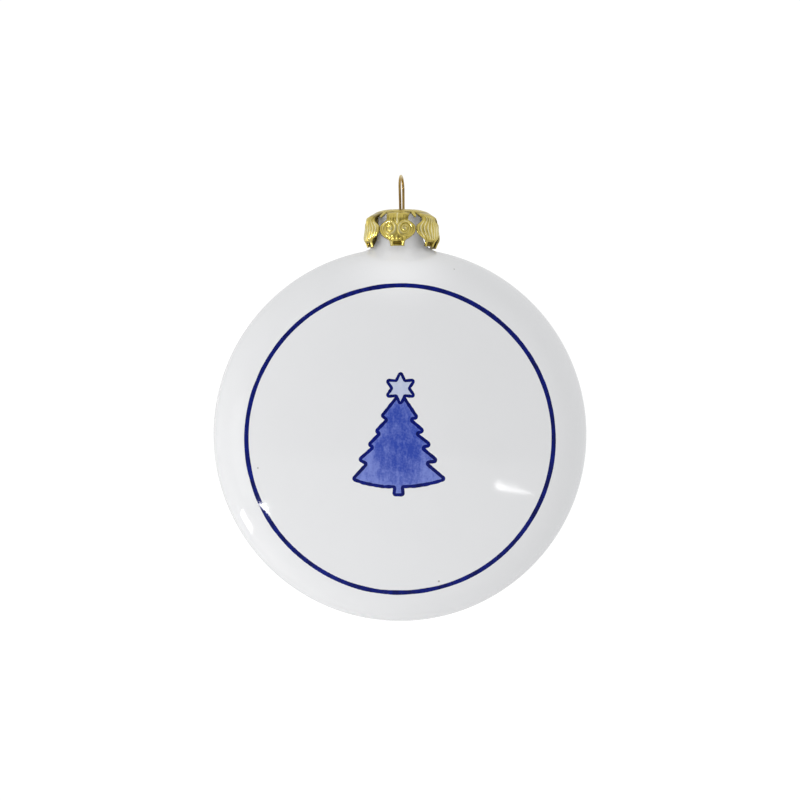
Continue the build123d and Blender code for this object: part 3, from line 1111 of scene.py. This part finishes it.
class ORNAMENT_OT_ring(Operator):
    """Paint the line round each face"""

    bl_idname = "ornament.paint_rings"
    bl_label = "Painted rings"

    def execute(self, context):
        s = context.scene.ornament_paint
        rng = np.random.default_rng(SEED)
        turn = np.linspace(0, math.tau, 960, endpoint=False)
        for face, facing in FACES.items():
            radius = s.ring_radius + 0.05 * MM * waver(len(turn), 9, rng)
            width = s.ring_width * (1 + 0.05 * waver(len(turn), 40, rng))
            path = radius[:, None] * round_about(turn)[:, ::-1] - [0, s.ring_drop]
            names = f"{face}_painted_ring", f"{face}_ring_line"
            paint_line(context.scene, names, path, width, facing)
        return {"FINISHED"}


class ORNAMENT_OT_tree(Operator):
    """Paint the tree on each face: its wash and its outline"""

    bl_idname = "ornament.paint_trees"
    bl_label = "Painted trees"

    def execute(self, context):
        s = context.scene.ornament_paint
        rng = np.random.default_rng(SEED + 1)
        outline = np.array([TREE_APEX, *TREE_RIGHT, *TREE_LEFT[::-1]]) * MM
        corners = kept_tips(outline, TIP_ROUND["tree"])
        path = rounded_path(corners, TIP_ROUND["tree"], 0.08 * MM, closed=True)
        flat = tree_sheet()
        quads = grid_quads(*flat.shape[:2])[:, ::-1]
        for face, facing in FACES.items():
            pool = (-facing * POOL_X, facing * HALF_THICKNESS, DISC_Z - POOL_DROP)
            colour = pigment_material(
                f"Cobalt wash, {face}", s.wash_dark, s.wash_light, 330.0, 0.36, pool
            )
            names = f"{face}_tree_colour", f"{face}_tree_wash"
            film(context.scene, names, colour, flat, TREE_WASH, [quads], facing)
            width = s.tree_width * (1 + 0.07 * waver(len(path), 60, rng))
            names = f"{face}_tree_outline", f"{face}_tree_line"
            paint_line(context.scene, names, path, width, facing, TREE_LINE)
        return {"FINISHED"}


class ORNAMENT_OT_star(Operator):
    """Paint the star on each face: its pale wash and its outline"""

    bl_idname = "ornament.paint_stars"
    bl_label = "Painted stars"

    def execute(self, context):
        s = context.scene.ornament_paint
        rng = np.random.default_rng(SEED + 2)
        corners = kept_tips(star_outline(s.star_radius), TIP_ROUND["star"])
        path = rounded_path(corners, TIP_ROUND["star"], 0.06 * MM, closed=True)
        rings = star_sheet(s.star_radius - 0.1 * MM)
        flat = np.vstack([rings.reshape(-1, 2), STAR_CENTRE])
        rows, columns = rings.shape[:2]
        quads = grid_quads(rows, columns, wrap_columns=True)[:, ::-1]
        fan = pole_fan(rows * columns, np.arange(columns) + (rows - 1) * columns, flip=True)
        faces = [quads, fan]
        for face, facing in FACES.items():
            colour = pigment_material("Pale star wash", s.star_dark, s.star_light, 500.0, 0.2)
            names = f"{face}_star_colour", f"{face}_star_wash"
            film(context.scene, names, colour, flat, STAR_WASH, faces, facing)
            width = s.star_width * (1 + 0.06 * waver(len(path), 30, rng))
            names = f"{face}_star_outline", f"{face}_star_line"
            paint_line(context.scene, names, path, width, facing, STAR_LINE)
        return {"FINISHED"}


class ORNAMENT_OT_cap(Operator):
    """Stamp the crown cap with its petals and scrolls"""

    bl_idname = "ornament.stamp_cap"
    bl_label = "Crown cap"

    def execute(self, context):
        s = context.scene.ornament_cap
        points, relief, quads, fan = cap_surface(s)
        hole = context.scene.ornament_hanger.leg_half_spacing * round_about(s.yaw - math.pi / 2)
        middle = np.array([s.offset, 0])
        quads = cut_holes(points, quads, [middle + hole, middle - hole], s.hole_radius)
        # The relief attribute also places the painted shade in the hollows and the painted
        # highlight on the raised stamping.
        piece = new_piece("stamped_cap", points, [quads, fan], relief=0.3 + 0.55 * relief)
        merge_close(piece, 0.002 * MM)
        wall = piece.modifiers.new("Sheet", "SOLIDIFY")
        wall.thickness = s.sheet
        wall.offset = -1
        wall.use_even_offset = False
        wall.material_offset = 1
        gold = metal_material("Gold lacquer", s.gold, s.wear_and_highlight, s.hollow_shade_and_tarnish)
        settle(piece, gold, "cap_body", "crown_cap")
        # The cap's inner side gets its own dark material as painted shade.
        inside = metal_material("Cap inside", s.inside, s.hollow_shade_and_tarnish, s.inside, relief=0.5)
        piece.data.materials.append(inside)
        return {"FINISHED"}


class ORNAMENT_OT_hanger(Operator):
    """Bend the wire hanger"""

    bl_idname = "ornament.bend_hanger"
    bl_label = "Wire hanger"

    def execute(self, context):
        s = context.scene.ornament_hanger
        points, relief, faces = wire_surface(s, context.scene.ornament_cap)
        piece = new_piece("bent_wire", points, faces, relief=relief)
        brass = metal_material(
            "Brass wire", s.brass, s.wear_and_highlight, s.hollow_shade_and_tarnish, patch_scale=150.0, depth=0.0005 * MM
        )
        settle(piece, brass, "hanger_body", "wire_hanger")
        return {"FINISHED"}


class ORNAMENT_OT_stage(Operator):
    """Set up the pale floor, the room's light and the camera"""

    bl_idname = "ornament.set_stage"
    bl_label = "Studio stage"

    def execute(self, context):
        s = context.scene.ornament_stage
        floor = floor_piece(s)
        material, tree, shader = new_material(
            "Studio floor", Roughness=0.9, Base_Color=rgba(s.floor), Emission_Color=rgba(s.floor)
        )
        seen = add_node(tree, "ShaderNodeLightPath").outputs["Is Camera Ray"]
        glow = maths(tree, "MULTIPLY", seen, s.floor_glow)
        tree.links.new(glow, shader.inputs["Emission Strength"])
        floor.data.materials.append(material)
        studio_world(s)
        for name, placing in SOFTBOXES.items():
            softbox(name, *placing).visible_glossy = name != "left_lamp"
        for name, placing in GLINTS.items():
            wedge_lamp(name, *placing)
        neck_spot()
        data = bpy.data.cameras.new("camera")
        data.lens = s.lens
        data.sensor_width = 36.0
        data.clip_start = 0.01
        camera = new_object("camera", data)
        camera.location = (0, -s.camera_distance, DISC_Z + s.camera_rise)
        camera.rotation_euler = (math.pi / 2, 0, 0)
        context.scene.camera = camera
        context.scene.view_settings.view_transform = "Standard"
        return {"FINISHED"}


class VIEW3D_PT_ornament(Panel):
    """Buttons and sizes of the ornament"""

    bl_label = "Ceramic ornament"
    bl_space_type = "VIEW_3D"
    bl_region_type = "UI"
    bl_category = "Ornament"

    def draw(self, context):
        for operator in OPERATORS:
            self.layout.operator(operator.bl_idname)
        for name, group in SETTINGS.items():
            box = self.layout.box()
            for key in group.__annotations__:
                box.prop(getattr(context.scene, name), key)


SETTINGS = {
    "ornament_body": BodySettings,
    "ornament_paint": PaintSettings,
    "ornament_cap": CapSettings,
    "ornament_hanger": HangerSettings,
    "ornament_stage": StageSettings,
}
OPERATORS = [
    ORNAMENT_OT_body,
    ORNAMENT_OT_ring,
    ORNAMENT_OT_tree,
    ORNAMENT_OT_star,
    ORNAMENT_OT_cap,
    ORNAMENT_OT_hanger,
    ORNAMENT_OT_stage,
]
CLASSES = [*SETTINGS.values(), *OPERATORS, VIEW3D_PT_ornament]


def register():
    for cls in CLASSES:
        bpy.utils.register_class(cls)
    for name, group in SETTINGS.items():
        setattr(bpy.types.Scene, name, PointerProperty(type=group))


def unregister():
    for name in SETTINGS:
        delattr(bpy.types.Scene, name)
    for cls in reversed(CLASSES):
        bpy.utils.unregister_class(cls)


def main():
    """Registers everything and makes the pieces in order."""
    register()
    bpy.ops.ornament.make_body()
    bpy.ops.ornament.paint_rings()
    bpy.ops.ornament.paint_trees()
    bpy.ops.ornament.paint_stars()
    bpy.ops.ornament.stamp_cap()
    bpy.ops.ornament.bend_hanger()
    bpy.ops.ornament.set_stage()


if __name__ == "__main__":
    main()
